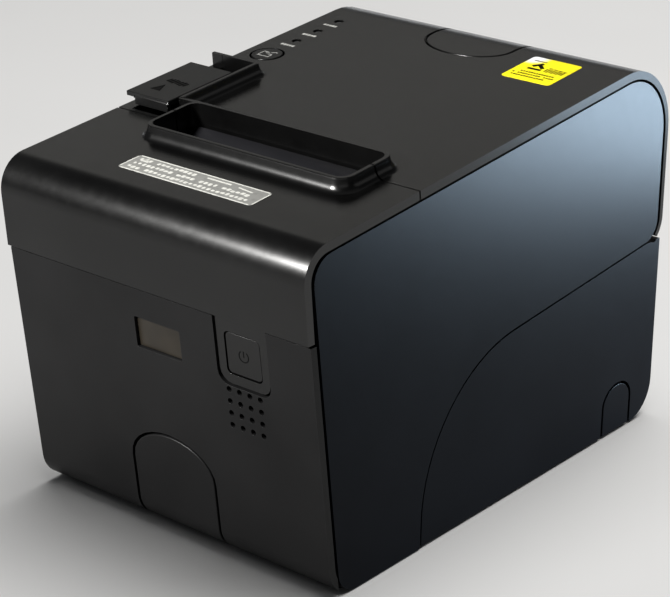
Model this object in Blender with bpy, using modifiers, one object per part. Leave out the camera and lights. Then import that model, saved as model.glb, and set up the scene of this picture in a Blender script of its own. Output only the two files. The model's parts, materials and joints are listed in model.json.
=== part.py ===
"""Receipt printer for 80 mm paper, built from separate named pieces.

Frame: metres, +Z up, the power button on the -Y face, +X to the right of it.
The origin lies under the middle of the casing, on the surface it stands on.
All sizes below are in millimetres; the helpers turn them into metres.
"""
from math import atan2, cos, hypot, pi, radians, sin

import bmesh
import bpy
from mathutils import Matrix, Vector

MM = 0.001
GAP = 0.3                       # clearance between touching pieces
GROOVE = 0.7                    # width of the seams that show
KNOCKOUT_GROOVE = 1.1           # width of the gaps round the snap-in covers

# ---- Casing: side profile, as (y, z) ------------------------------------
HALF_WIDTH = 70.0
FRONT_FOOT = (-92.75, 0.0)      # the front face leans forward as it rises
FRONT_BROW = (-108.4, 130.9)
REAR_BROW = (107.0, 150.5)
REAR_FOOT = (107.0, 0.0)
FOOT_RADIUS, BROW_RADIUS, CROWN_RADIUS, HEEL_RADIUS = 12.6, 12.0, 28.0, 14.0
SKIN = 3.3                      # wall of the front cover and of the lid's top
REAR_SKIN = 2.0                 # wall of the lid's rear skirt
ARC_STEPS = 10

# ---- Seams ---------------------------------------------------------------
FRONT_SEAM_Z = 98.9             # between the front cover and the front panel
FRONT_SEAM_GAP = 1.0
TOP_SEAM_S = -48.8              # between the front cover and the lid
HEM_CENTRE = (95.4, 84.3)       # the lid's rear skirt curls in round this axis
HEM_RADIUS = 11.6
HEM_SWEEP = 44.0                # degrees
SIDE_SEAM_Y = -43.6             # upright start of the side seam
SIDE_SEAM_RADIUS = 57.5
SIDE_SEAM_Z = 67.8              # height of the side seam's straight run ...
SIDE_SEAM_AT_Y = 12.6           # ... at this y
SIDE_SEAM_HALF = 0.45           # half of the side seam's width

# ---- Lid hinge and print line ---------------------------------------------
HINGE = (101.9, 77.6)
PAPER_X = 4.5                   # the paper path sits right of the centre
PLATEN = (-42.0, 116.0)
PLATEN_RADIUS = 6.0
GEAR_MODULE = 1.0
PLATEN_TEETH, IDLER_TEETH, PINION_TEETH = 18, 28, 10
MOTOR = (-64.2, 84.0)
AXLE_RADIUS = 2.0
GEAR_X = (-49.0, -45.5)
ROLL = (38.0, 92.0)             # axis of the paper roll's bay
BAY_RADIUS = 43.6

# ---- Paper exit, in the lid's own plane: x across, s up the slope ----------
EXIT_SIZE = (93.0, 27.6)
EXIT_CENTRE = (PAPER_X, -50.9)
EXIT_WALL = 1.6
RIM_HEIGHT = 5.0
SKIRT = ((0.0, 3.2), (0.5, 2.1), (1.4, 1.15), (2.8, 0.5), (4.3, 0.2), (4.8, 0.0),
         (RIM_HEIGHT, -0.35))   # height and reach of the flared skirt round the exit

# ---- Front face features, x across and s up the face -----------------------
TONGUE = (27.7, 50.0, 74.0)     # left, right, lower edge
TONGUE_SUNK = 1.0               # the tongue's surface behind the front face's plane
POWER_CENTRE, POWER_SIZE, POWER_SUNK = (38.9, 85.8), (15.0, 15.4), 1.3
WINDOW_CENTRE, WINDOW_SIZE = (0.0, 81.6), (21.2, 12.0)
HOLE_PITCH, HOLE_RADIUS, HOLES_PER_SIDE = 4.65, 1.15, 4
HOLES_CENTRE = (38.5, 64.8)
ARCH_HALF, ARCH_SPRING, ARCH_RISE = 19.2, 29.0, 13.0

# ---- Left end of the lid: lever pocket, buttons and lights -------------------
POCKET_X, POCKET_S, POCKET_DEPTH = (-66.2, -48.4), (-46.8, 2.8), 7.0
LEVER_S, LEVER_RIGHT = (-44.0, -9.0), -48.9
LEVER_AXIS = (-57.0, -26.5)
LIGHT_X, LIGHT_S, LIGHT_RADIUS = -59.7, (40.0, 53.0, 66.0), 1.9
FEED_CENTRE, FEED_RADIUS = (-59.7, 22.5), 6.1

# ---- Cutter -------------------------------------------------------------------
BLADE_Z = (123.5, 125.0)
CUTTER_TEETH = 12
CUTTER_PINION = (49.6, -76.0)


# ======================= helpers: places and outlines ==========================
def place(origin, x_axis, y_axis):
    """Matrix of a frame with its origin in mm and these two axes."""
    x_axis, y_axis = Vector(x_axis).normalized(), Vector(y_axis).normalized()
    z_axis = x_axis.cross(y_axis)
    matrix = Matrix((x_axis, y_axis, z_axis)).transposed().to_4x4()
    matrix.translation = Vector(origin) * MM
    return matrix


FRONT_RUN = (FRONT_BROW[0] - FRONT_FOOT[0], FRONT_BROW[1] - FRONT_FOOT[1])
TOP_RUN = (REAR_BROW[0] - FRONT_BROW[0], REAR_BROW[1] - FRONT_BROW[1])
TOP_ANGLE = atan2(TOP_RUN[1], TOP_RUN[0])
TOP_Z = FRONT_BROW[1] - FRONT_BROW[0] * TOP_RUN[1] / TOP_RUN[0]

PLAN = place((0, 0, 0), (1, 0, 0), (0, 1, 0))
SIDE = place((0, 0, 0), (0, 1, 0), (0, 0, 1))
FRONT = place((0, *FRONT_FOOT), (1, 0, 0), (0, *FRONT_RUN))
TOP = place((0, 0, TOP_Z), (1, 0, 0), (0, *TOP_RUN))


def moved(frame, x, y, z=0.0):
    """The same frame with its origin shifted along its own axes."""
    return frame @ Matrix.Translation(Vector((x, y, z)) * MM)


def on_top(s, height=0.0):
    """(y, z) of a point s up the lid's slope and this far above it."""
    return (s * cos(TOP_ANGLE) - height * sin(TOP_ANGLE),
            TOP_Z + s * sin(TOP_ANGLE) + height * cos(TOP_ANGLE))


def on_front(z, depth=0.0):
    """(y, z) on the front face at height z, this far behind its plane."""
    run = hypot(*FRONT_RUN)
    return (FRONT_FOOT[0] + z * FRONT_RUN[0] / FRONT_RUN[1] + depth * run / FRONT_RUN[1], z)


def crossing(line_a, line_b):
    """Where two lines meet, each given as a point and a direction."""
    (ax, ay), (au, av) = line_a
    (bx, by), (bu, bv) = line_b
    along = ((bx - ax) * bv - (by - ay) * bu) / (au * bv - av * bu)
    return (ax + au * along, ay + av * along)


def inset_corners(front, top, rear, bottom):
    """The profile's four sharp corners after moving each side inwards."""
    run = hypot(*FRONT_RUN)
    inward = (FRONT_RUN[1] / run * front, -FRONT_RUN[0] / run * front)
    front_line = ((FRONT_FOOT[0] + inward[0], FRONT_FOOT[1] + inward[1]), FRONT_RUN)
    top_line = (on_top(0, -top), TOP_RUN)
    rear_line = ((REAR_FOOT[0] - rear, 0), (0, 1))
    bottom_line = ((0, bottom), (1, 0))
    return (crossing(front_line, bottom_line), crossing(front_line, top_line),
            crossing(rear_line, top_line), crossing(rear_line, bottom_line))


def arc(centre, radius, start, end, steps=ARC_STEPS):
    """Points on an arc between two angles in degrees."""
    turn = [radians(start + (end - start) * i / steps) for i in range(steps + 1)]
    return [(centre[0] + radius * cos(a), centre[1] + radius * sin(a)) for a in turn]


def fillet(before, corner, after, radius, steps=ARC_STEPS):
    """Arc that rounds a corner, running from one side to the other."""
    corner = Vector(corner)
    to_before = (Vector(before) - corner).normalized()
    to_after = (Vector(after) - corner).normalized()
    half = to_before.angle(to_after) / 2
    centre = corner + (to_before + to_after).normalized() * radius / sin(half)
    start = corner + to_before * radius * cos(half) / sin(half) - centre
    turn = to_before.angle(to_after)
    sweep = pi - turn
    if to_before.cross(to_after) > 0:
        sweep = -sweep
    first = atan2(start.y, start.x)
    return [(centre.x + radius * cos(first + sweep * i / steps),
             centre.y + radius * sin(first + sweep * i / steps)) for i in range(steps + 1)]


def rounded_rect(width, height, radius, centre=(0.0, 0.0), steps=4):
    """Rounded rectangle, counter-clockwise."""
    x, y = width / 2 - radius, height / 2 - radius
    points = []
    for quarter, (sx, sy) in enumerate(((1, 1), (-1, 1), (-1, -1), (1, -1))):
        hub = (centre[0] + sx * x, centre[1] + sy * y)
        points += arc(hub, radius, 90 * quarter, 90 * quarter + 90, steps)
    return points


def circle(radius, sides, centre=(0.0, 0.0)):
    """Regular polygon standing for a circle."""
    return arc(centre, radius, 0, 360, sides)[:-1]


def arch(half_width, base, spring, rise, centre=0.0, steps=14):
    """Door-shaped outline: straight legs under an elliptical head."""
    head = [(centre + half_width * cos(pi * i / steps), spring + rise * sin(pi * i / steps))
            for i in range(steps + 1)]
    return [(centre - half_width, base), (centre + half_width, base)] + head


def gear_outline(teeth, module, phase=0.0):
    """Trapezoid teeth, slim enough to run free, the first one at this angle."""
    pitch_radius = teeth * module / 2
    root, tip = pitch_radius - 1.2 * module, pitch_radius + 0.8 * module
    step = 2 * pi / teeth
    points = []
    for tooth in range(teeth):
        middle = phase + tooth * step
        for part, radius in ((-0.30, root), (-0.10, tip), (0.10, tip), (0.30, root)):
            angle = middle + part * step
            points.append((radius * cos(angle), radius * sin(angle)))
    return points


# ======================= helpers: objects and modifiers ========================
pieces = bpy.data.collections.new("receipt_printer")
cutters = bpy.data.collections.new("cutters")


def clear_scene():
    for thing in list(bpy.data.objects):
        bpy.data.objects.remove(thing, do_unlink=True)
    bpy.context.scene.collection.children.link(pieces)
    bpy.context.scene.collection.children.link(cutters)


def add_object(name, mesh, frame):
    thing = bpy.data.objects.new(name, mesh)
    thing.matrix_world = frame
    pieces.objects.link(thing)
    return thing


def slab(name, outlines, low, high, frame):
    """Flat outline thickened along the frame's Z; inner outlines are holes."""
    curve = bpy.data.curves.new(name, "CURVE")
    curve.dimensions = "2D"
    curve.fill_mode = "BOTH"
    curve.extrude = (high - low) / 2 * MM
    for outline in outlines:
        spline = curve.splines.new("POLY")
        spline.points.add(len(outline) - 1)
        for point, (x, y) in zip(spline.points, outline):
            point.co = (x * MM, y * MM, 0, 1)
        spline.use_cyclic_u = True
    sketch = bpy.data.objects.new(name + "_sketch", curve)
    pieces.objects.link(sketch)
    bpy.context.view_layer.update()
    solid = sketch.evaluated_get(bpy.context.evaluated_depsgraph_get())
    mesh = bpy.data.meshes.new_from_object(solid)
    bpy.data.objects.remove(sketch, do_unlink=True)
    mesh.name = name
    weld(mesh)
    return add_object(name, mesh, moved(frame, 0, 0, (low + high) / 2))


def weld(mesh):
    work = bmesh.new()
    work.from_mesh(mesh)
    bmesh.ops.remove_doubles(work, verts=work.verts, dist=0.000005)
    bmesh.ops.recalc_face_normals(work, faces=work.faces)
    work.to_mesh(mesh)
    work.free()


def block(name, x, y, z, frame=PLAN):
    """Box between these limits along the frame's own axes."""
    work = bmesh.new()
    size = Vector((x[1] - x[0], y[1] - y[0], z[1] - z[0])) * MM
    bmesh.ops.create_cube(work, size=1.0, matrix=Matrix.Diagonal(size).to_4x4())
    mesh = bpy.data.meshes.new(name)
    work.to_mesh(mesh)
    work.free()
    return add_object(name, mesh, moved(frame, sum(x) / 2, sum(y) / 2, sum(z) / 2))


def rod(name, radius, low, high, centre=(0, 0), frame=PLAN, sides=24, tip_radius=None):
    """Cylinder or cone along the frame's Z."""
    work = bmesh.new()
    bmesh.ops.create_cone(work, cap_ends=True, segments=sides, radius1=radius * MM,
                          radius2=(radius if tip_radius is None else tip_radius) * MM,
                          depth=(high - low) * MM)
    mesh = bpy.data.meshes.new(name)
    work.to_mesh(mesh)
    work.free()
    return add_object(name, mesh, moved(frame, *centre, (low + high) / 2))


def loft(name, sections, frame):
    """Solid through outlines of equal length, each given with its height."""
    work = bmesh.new()
    rings = [[work.verts.new((x * MM, y * MM, height * MM)) for x, y in outline]
             for outline, height in sections]
    count = len(rings[0])
    for lower, upper in zip(rings, rings[1:]):
        for i in range(count):
            j = (i + 1) % count
            work.faces.new((lower[i], lower[j], upper[j], upper[i]))
    work.faces.new(list(reversed(rings[0])))
    work.faces.new(rings[-1])
    bmesh.ops.recalc_face_normals(work, faces=work.faces)
    mesh = bpy.data.meshes.new(name)
    work.to_mesh(mesh)
    work.free()
    return add_object(name, mesh, frame)


def coil(name, radius, wire, length, turns, frame):
    """Compression spring along the frame's Z."""
    curve = bpy.data.curves.new(name, "CURVE")
    curve.dimensions = "3D"
    curve.bevel_depth = wire / 2 * MM
    curve.bevel_resolution = 1
    curve.use_fill_caps = True
    spline = curve.splines.new("POLY")
    steps = 10 * turns
    spline.points.add(steps)
    for i, point in enumerate(spline.points):
        angle = 2 * pi * i / 10
        point.co = (radius * cos(angle) * MM, radius * sin(angle) * MM, length * i / steps * MM, 1)
    sketch = bpy.data.objects.new(name + "_sketch", curve)
    pieces.objects.link(sketch)
    bpy.context.view_layer.update()
    mesh = bpy.data.meshes.new_from_object(
        sketch.evaluated_get(bpy.context.evaluated_depsgraph_get()))
    bpy.data.objects.remove(sketch, do_unlink=True)
    mesh.name = name
    weld(mesh)
    return add_object(name, mesh, frame)


def combine(target, operation, tools):
    for tool in tools:
        modifier = target.modifiers.new(operation.lower(), "BOOLEAN")
        modifier.operation = operation
        modifier.object = tool
        modifier.solver = "EXACT"
        pieces.objects.unlink(tool)
        cutters.objects.link(tool)
        tool.hide_render = True
        tool.display_type = "WIRE"
    return target


def cut(target, *tools):
    return combine(target, "DIFFERENCE", tools)


def join(target, *tools):
    return combine(target, "UNION", tools)


def keep(target, *tools):
    return combine(target, "INTERSECT", tools)


def soften(target, width, segments=1, angle=40):
    modifier = target.modifiers.new("soft_edges", "BEVEL")
    modifier.width = width * MM
    modifier.segments = segments
    modifier.limit_method = "ANGLE"
    modifier.angle_limit = radians(angle)
    return target


def paint(target, colour, roughness, metallic=0.0):
    material = bpy.data.materials.new(target.name)
    material.use_nodes = True
    shader = material.node_tree.nodes["Principled BSDF"]
    shader.inputs["Base Color"].default_value = (*colour, 1.0)
    shader.inputs["Roughness"].default_value = roughness
    shader.inputs["Metallic"].default_value = metallic
    target.data.materials.append(material)
    target.data.shade_smooth()
    target.data.set_sharp_from_angle(angle=radians(35))
    return target


BLACK_ABS = (0.018, 0.018, 0.018)
DARK_ABS = (0.03, 0.03, 0.032)
STEEL = (0.55, 0.55, 0.56)
PALE_NYLON = (0.75, 0.74, 0.70)
BOARD_GREEN = (0.02, 0.10, 0.05)


# ======================= casing ==================================================
def strip(name, outer, inner):
    """Wall of the casing across its full width, between two paths."""
    return slab(name, [outer + inner[::-1]], -HALF_WIDTH, HALF_WIDTH, SIDE)


COVER_FLARE = 0.9               # how far the cover's lower edge stands ahead of the face's plane


def front_cover_wall(name):
    def path(inset, radius):
        _, brow, crown, _ = inset_corners(inset, inset, 0, 0)
        hem = on_front(FRONT_SEAM_Z, inset - COVER_FLARE)
        return ([hem] + fillet(hem, brow, crown, radius)
                + [on_top(TOP_SEAM_S - GROOVE / 2, -inset)])
    return strip(name, path(0, BROW_RADIUS), path(SKIN, BROW_RADIUS - SKIN))


PANEL_SET_BACK = 0.3            # the front panel lies this far behind the face's plane
PANEL_SKIN = 2.8
CASE_FRONT_Y = -74.0


def front_panel_wall(name):
    def path(inset, bottom, radius):
        foot, brow, _, heel = inset_corners(inset, 0, 0, bottom)
        return ([(CASE_FRONT_Y - GAP, bottom)] + fillet(heel, foot, brow, radius)
                + [on_front(FRONT_SEAM_Z - FRONT_SEAM_GAP, inset)])
    return strip(name, path(PANEL_SET_BACK, 0.5, FOOT_RADIUS),
                 path(PANEL_SET_BACK + PANEL_SKIN, 0.5 + PANEL_SKIN, FOOT_RADIUS - PANEL_SKIN))


def lid_wall(name):
    def path(top, rear, radius):
        _, brow, crown, heel = inset_corners(0, top, rear, 0)
        return ([on_top(TOP_SEAM_S + GROOVE / 2, -top)] + fillet(brow, crown, heel, radius, 14)
                + arc(HEM_CENTRE, HEM_RADIUS - rear, 0, -HEM_SWEEP, 8))
    return strip(name, path(0, 0, CROWN_RADIUS), path(SKIN, REAR_SKIN, CROWN_RADIUS - SKIN + 0.5))


def exit_frame(name):
    """Raised rim of the paper exit with its flared skirt, still solid."""
    levels = ((-7.0, 0.0), (-0.8, 0.0), (-0.7, 3.4)) + SKIRT
    width, depth = EXIT_SIZE
    return loft(name, [(rounded_rect(width + 2 * out, depth + 2 * out, 5.5 + out, EXIT_CENTRE, 5),
                        height) for height, out in levels], TOP)


def exit_void(name):
    width, depth = (size - 2 * EXIT_WALL for size in EXIT_SIZE)
    return slab(name, [rounded_rect(width, depth, 5.5 - EXIT_WALL, EXIT_CENTRE, 4)], -20, 9, TOP)


def beyond_seam(name, ahead):
    """Everything on one side of the seam between front cover and lid."""
    offset = GROOVE / 2 + 0.05
    span = (-120, TOP_SEAM_S - offset) if ahead else (TOP_SEAM_S + offset, 20)
    return block(name, (-80, 80), span, (-30, 20), TOP)


def tongue_outline(grow, head):
    left, right, low = TONGUE
    low_left = fillet((left - grow, head), (left - grow, low - grow), (right, low - grow), 5.0, 4)
    low_right = fillet((left, low - grow), (right + grow, low - grow), (right + grow, head), 4.0, 4)
    return [(left - grow, head)] + low_left + low_right + [(right + grow, head)]


def make_front_cover():
    cover = front_cover_wall("front_cover")
    half_frame = keep(exit_frame("exit_front_half"), beyond_seam("ahead_of_seam", True))
    tongue = slab("power_tongue", [tongue_outline(0, 101.0)], -SKIN, -TONGUE_SUNK, FRONT)
    power_hole = slab("power_hole", [rounded_rect(POWER_SIZE[0] + 0.9, POWER_SIZE[1] + 0.9, 2.0,
                                                  POWER_CENTRE)], -9, 5, FRONT)
    join(cover, half_frame, tongue)
    cut(cover, exit_void("exit_void_front"), power_hole)
    paint(cover, BLACK_ABS, 0.42)


def speaker_hole(index):
    row, column = divmod(index, HOLES_PER_SIDE)
    middle = (HOLES_PER_SIDE - 1) / 2
    centre = (HOLES_CENTRE[0] + (column - middle) * HOLE_PITCH,
              HOLES_CENTRE[1] + (row - middle) * HOLE_PITCH)
    return rod(f"speaker_hole_{index}", HOLE_RADIUS, -9, 5, centre, FRONT, 12)


def make_front_panel():
    panel = front_panel_wall("front_panel")
    tools = [slab("tongue_hole", [tongue_outline(GROOVE, 104.0)], -9, 5, FRONT),
             slab("window_hole", [rounded_rect(*WINDOW_SIZE, 0.8, WINDOW_CENTRE)], -9, 5, FRONT),
             slab("arch_hole", [arch(ARCH_HALF + KNOCKOUT_GROOVE, -8, ARCH_SPRING,
                                     ARCH_RISE + KNOCKOUT_GROOVE)], -26, 5, FRONT)]
    tools += [speaker_hole(i) for i in range(HOLES_PER_SIDE ** 2)]
    for side in (-1, 1):
        span = sorted((side * (CHEEK_X[0] - GAP), side * 75))
        tools.append(slab(f"cheek_room_{side}", [cheek_outline(0.5, -4)], *span, SIDE))
    cut(panel, *tools)
    paint(panel, BLACK_ABS, 0.45)
    knockout = front_panel_wall("front_knockout")
    keep(knockout, slab("arch_plug", [arch(ARCH_HALF, -8, ARCH_SPRING, ARCH_RISE)], -26, 5, FRONT))
    paint(knockout, BLACK_ABS, 0.45)
    window_size = [size - 2 * GAP for size in WINDOW_SIZE]
    window = slab("status_window", [rounded_rect(*window_size, 0.6, WINDOW_CENTRE)],
                  -3.0, -1.5, FRONT)
    paint(window, (0.035, 0.028, 0.022), 0.15)


def seam_height(y):
    return SIDE_SEAM_Z + (y - SIDE_SEAM_AT_Y) * TOP_RUN[1] / TOP_RUN[0]


def seam_path(out, foot_z):
    """Side seam from its foot to the end of its bend, moved outwards."""
    hub_y = SIDE_SEAM_Y + SIDE_SEAM_RADIUS
    hub = (hub_y, seam_height(hub_y) - SIDE_SEAM_RADIUS / cos(TOP_ANGLE))
    top_turn = 90 + TOP_ANGLE * 180 / pi
    bend = arc(hub, SIDE_SEAM_RADIUS + out, 180, top_turn, 16)
    return [(SIDE_SEAM_Y - out, foot_z)] + bend


CHEEK_FRONT, CHEEK_TOP, CHEEK_REAR = 4.4, 4.1, 3.6
CHEEK_X = (66.9, 70.0)
CHEEK_FOOT_Z = 0.5


def cheek_outline(grow, foot_z):
    """Side panel's outline, grown all round except along the side seam."""
    foot, brow, crown, _ = inset_corners(CHEEK_FRONT - grow, CHEEK_TOP - grow,
                                         CHEEK_REAR - grow, foot_z)
    heel = (crown[0], seam_height(crown[0]) + SIDE_SEAM_HALF)
    bend = seam_path(SIDE_SEAM_HALF, foot_z)
    return (bend + fillet(bend[-1], heel, crown, HEM_RADIUS - CHEEK_REAR + grow, 8)
            + fillet(heel, crown, brow, CROWN_RADIUS - CHEEK_TOP + grow, 12)
            + fillet(crown, brow, foot, BROW_RADIUS - 3.0 + grow, 6)
            + fillet(brow, foot, bend[0], FOOT_RADIUS - 3.0 + grow, 6))


def make_side_panels():
    for name, side in (("side_panel_right", 1), ("side_panel_left", -1)):
        low, high = sorted((side * CHEEK_X[0], side * CHEEK_X[1]))
        panel = slab(name, [cheek_outline(0, CHEEK_FOOT_Z)], low, high, SIDE)
        soften(panel, 0.5, 1, 60)
        paint(panel, BLACK_ABS, 0.35)


CASE_HALF, CASE_INNER = 69.8, 66.5
CASE_FLOOR = (1.1, 3.5)
CASE_REAR_INSET = 0.7
CASE_WALL = 2.4
CASE_REAR_TOP = 74.9            # clears the lid's skirt as it swings
TAB_CENTRE, TAB_HALF, TAB_SPRING, TAB_RISE = 81.5, 9.1, 13.0, 7.5
BAY_HALF, BAY_Z = 52.0, (8.0, 41.0)
FOOT_PLACES = [(x, y) for x in (-52.0, 52.0) for y in (-64.0, 82.0)]
SCREW_PLACES = [(x, y) for x in (-58.0, 58.0) for y in (-40.0, 50.0)]


def make_lower_case():
    def body(inset, bottom, radius, front_y, top_z):
        _, _, crown, heel = inset_corners(0, 0, inset, bottom)
        rear = fillet(crown, heel, (front_y, bottom), radius)
        return [(front_y, top_z), (heel[0], top_z)] + rear + [(front_y, bottom)]
    case = slab("lower_case", [body(CASE_REAR_INSET, CASE_FLOOR[0], HEEL_RADIUS, CASE_FRONT_Y, 90)],
                -CASE_HALF, CASE_HALF, SIDE)
    inner = body(CASE_REAR_INSET + CASE_WALL, CASE_FLOOR[1], HEEL_RADIUS - CASE_WALL, -90, 100)
    rear_end = (115, seam_height(115) - SIDE_SEAM_HALF)
    above_seam = seam_path(-SIDE_SEAM_HALF, -5) + [rear_end, (115, 110), (-120, 110), (-120, -5)]
    tools = [slab("case_hollow", [inner], -CASE_INNER, CASE_INNER, SIDE),
             slab("over_seam_right", [above_seam], CASE_INNER - 0.1, 75, SIDE),
             slab("over_seam_left", [above_seam], -75, 0.1 - CASE_INNER, SIDE),
             block("over_rear_wall", (-75, 75), (97.5, 110), (CASE_REAR_TOP, 95)),
             rod("hinge_sweep", 3.4, -75, 75, HINGE, SIDE, 32),
             block("connector_bay", (-BAY_HALF, BAY_HALF), (98, 110), BAY_Z)]
    for side in (-1, 1):
        low, high = sorted((side * 60, side * 75))
        tools.append(slab(f"tab_hole_{high}", [arch(TAB_HALF + KNOCKOUT_GROOVE, -2, TAB_SPRING,
                                                    TAB_RISE + KNOCKOUT_GROOVE, TAB_CENTRE)],
                          low, high, SIDE))
    tools += [rod(f"foot_seat_{i}", 6.5, -1, 2.1, spot) for i, spot in enumerate(FOOT_PLACES)]
    tools += [rod(f"screw_seat_{i}", 1.9, -1, 6, spot, PLAN, 16)
              for i, spot in enumerate(SCREW_PLACES)]
    cut(case, *tools)
    paint(case, BLACK_ABS, 0.4)


def make_tabs():
    """Snap-in covers of the cable exits at the rear of both sides."""
    for name, side in (("side_knockout_right", 1), ("side_knockout_left", -1)):
        low, high = sorted((side * (CASE_INNER + 0.2), side * CASE_HALF))
        tab = slab(name, [arch(TAB_HALF, CASE_FLOOR[0], TAB_SPRING, TAB_RISE, TAB_CENTRE)],
                   low, high, SIDE)
        paint(tab, BLACK_ABS, 0.4)


def make_feet_and_screws():
    for i, spot in enumerate(FOOT_PLACES, 1):
        paint(soften(rod(f"rubber_foot_{i}", 6.2, 0, 1.8, spot), 0.4), (0.02, 0.02, 0.02), 0.9)
    for i, spot in enumerate(SCREW_PLACES, 1):
        screw = rod(f"case_screw_{i}", 1.5, 1.3, 11.0, spot, PLAN, 16)
        cut(screw, block(f"screw_slot_{i}", (spot[0] - 0.3, spot[0] + 0.3),
                         (spot[1] - 2, spot[1] + 2), (0.5, 2.0)))
        paint(screw, STEEL, 0.3, 1.0)


# ======================= lid ======================================================
KNUCKLE_RADIUS, PIN_RADIUS = 2.2, 1.1
LID_KNUCKLE_X, BASE_KNUCKLE_X = (58.0, 63.1), (63.5, 66.3)
INSERT_HALF, INSERT_APEX, INSERT_RISE, INSERT_FOOT_Z = 19.0, 60.5, 13.0, 112.0


def insert_prism(name, grow):
    """Door-shaped region at the rear of the lid's top, running down the skirt."""
    outline = [(-x, -y) for x, y in arch(INSERT_HALF + grow, -120, -(INSERT_APEX + INSERT_RISE),
                                         INSERT_RISE + grow)]
    return slab(name, [outline], INSERT_FOOT_Z - grow, 160, PLAN)


def pocket_wall(name, start_s):
    """Raised L-shaped wall behind and right of the lever, with the exit's skirt outside."""
    (_, right), (_, far) = POCKET_X, POCKET_S
    left = 0.1 - HALF_WIDTH

    def outline(out):
        x, s = right + EXIT_WALL + out, far + EXIT_WALL + out
        corner = fillet((x, start_s), (x, s), (left, s), 2.0 + out, 4)
        return ([(right - 0.15, start_s), (x, start_s)] + corner
                + [(left, s), (left, far - 0.15), (right - 0.15, far - 0.15)])
    return loft(name, [(outline(out), height) for height, out in ((-1.3, 3.4),) + SKIRT], TOP)


def make_lid():
    lid = lid_wall("roll_cover")
    half_frame = keep(exit_frame("exit_rear_half"), beyond_seam("behind_seam", False))
    (left, right), (near, far) = POCKET_X, POCKET_S
    tub = block("pocket_tub", (left - 0.2, right + 1.4), (near - EXIT_WALL, far + 1.4),
                (-POCKET_DEPTH - EXIT_WALL, -0.9), TOP)
    link_s = EXIT_CENTRE[1] + EXIT_SIZE[1] / 2
    wall = pocket_wall("pocket_wall", link_s - 0.8)
    wall_link = block("wall_link", (right + 0.1, -38), (link_s - EXIT_WALL - 0.2, link_s - 0.1),
                      (-1.1, 4.85), TOP)
    join(lid, half_frame, tub, wall, wall_link)
    for side in (-1, 1):
        low, high = sorted((side * LID_KNUCKLE_X[0], side * LID_KNUCKLE_X[1]))
        join(lid, rod(f"lid_knuckle_{high}", KNUCKLE_RADIUS, low, high, HINGE, SIDE, 24))
    cut(lid, exit_void("exit_void_rear"),
        block("pocket_void", (left + 1.4, right), (near, far), (-POCKET_DEPTH, 9), TOP),
        block("lever_slot", (-62.0, -52.0), (-34.0, -8.0), (-14, 2), TOP),
        rod("feed_hole", FEED_RADIUS + 0.85, -9, 5, FEED_CENTRE, TOP, 32),
        insert_prism("insert_hole", KNOCKOUT_GROOVE))
    for i, s in enumerate(LIGHT_S):
        cut(lid, rod(f"light_hole_{i}", LIGHT_RADIUS + 0.05, -9, 5, (LIGHT_X, s), TOP, 20))
    for side in (-1, 1):
        low, high = sorted((side * (BASE_KNUCKLE_X[0] - 0.25), side * (BASE_KNUCKLE_X[1] + 0.3)))
        cut(lid, rod(f"knuckle_notch_{high:.0f}", KNUCKLE_RADIUS + GAP, low, high, HINGE, SIDE, 24),
            rod(f"pin_bore_{high:.0f}", PIN_RADIUS + 0.2, -67 if side < 0 else 50,
                -50 if side < 0 else 67, HINGE, SIDE, 16))
    paint(lid, BLACK_ABS, 0.42)
    insert = keep(lid_wall("lid_rear_insert"), insert_prism("insert_plug", 0))
    paint(insert, BLACK_ABS, 0.42)


def make_lid_controls():
    for i, s in enumerate(LIGHT_S, 1):
        light = rod(f"status_light_{i}", LIGHT_RADIUS - 0.25, -5.0, -0.9, (LIGHT_X, s), TOP, 16)
        paint(light, (0.05, 0.05, 0.06), 0.2)
    button = rod("feed_button", FEED_RADIUS, -2.9, 0.15, FEED_CENTRE, TOP, 40)
    join(button, rod("feed_stem", 1.8, -7, -2, FEED_CENTRE, TOP, 16))
    soften(button, 0.25, 1, 60)
    paint(button, BLACK_ABS, 0.4)
    board = block("lid_switch_board", (-64.5, -52.5), (13.0, 71.0), (-11.6, -10.0), TOP)
    join(board, block("feed_switch", (FEED_CENTRE[0] - 3, FEED_CENTRE[0] + 3),
                      (FEED_CENTRE[1] - 3, FEED_CENTRE[1] + 3), (-10.2, -8.5), TOP))
    paint(board, BOARD_GREEN, 0.5)


def make_lever():
    """Push-back lever that frees the lid."""
    near, far = LEVER_S
    lever = block("open_lever", (-HALF_WIDTH, LEVER_RIGHT), (near, far), (3.1, RIM_HEIGHT), TOP)
    stem = block("lever_stem", (-60.5, -53.5), (-33.0, -20.0), (-16.0, 4.0), TOP)
    lip = block("lever_lip", (-HALF_WIDTH + 4, LEVER_RIGHT - 0.5), (near, near + 1.8), (0.4, 4.0), TOP)
    cam = rod("lever_cam", 4.0, -60.5, -53.5, on_top(-26.5, -16.0), SIDE, 20)
    join(lever, stem, lip, cam)
    soften(lever, 0.3, 1, 60)
    paint(lever, BLACK_ABS, 0.35)
    spring = coil("lever_spring", 1.7, 0.5, 12.0, 6,
                  TOP @ place((-50.4, -30.0, -12.5), (1, 0, 0), (0, 0, -1)))
    paint(spring, STEEL, 0.3, 1.0)


ARM_X = ((-41.0, -38.6), (47.6, 50.0))
BEAM_Y, BEAM_Z = (-36.3, -24.0), (127.0, 133.3)


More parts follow.
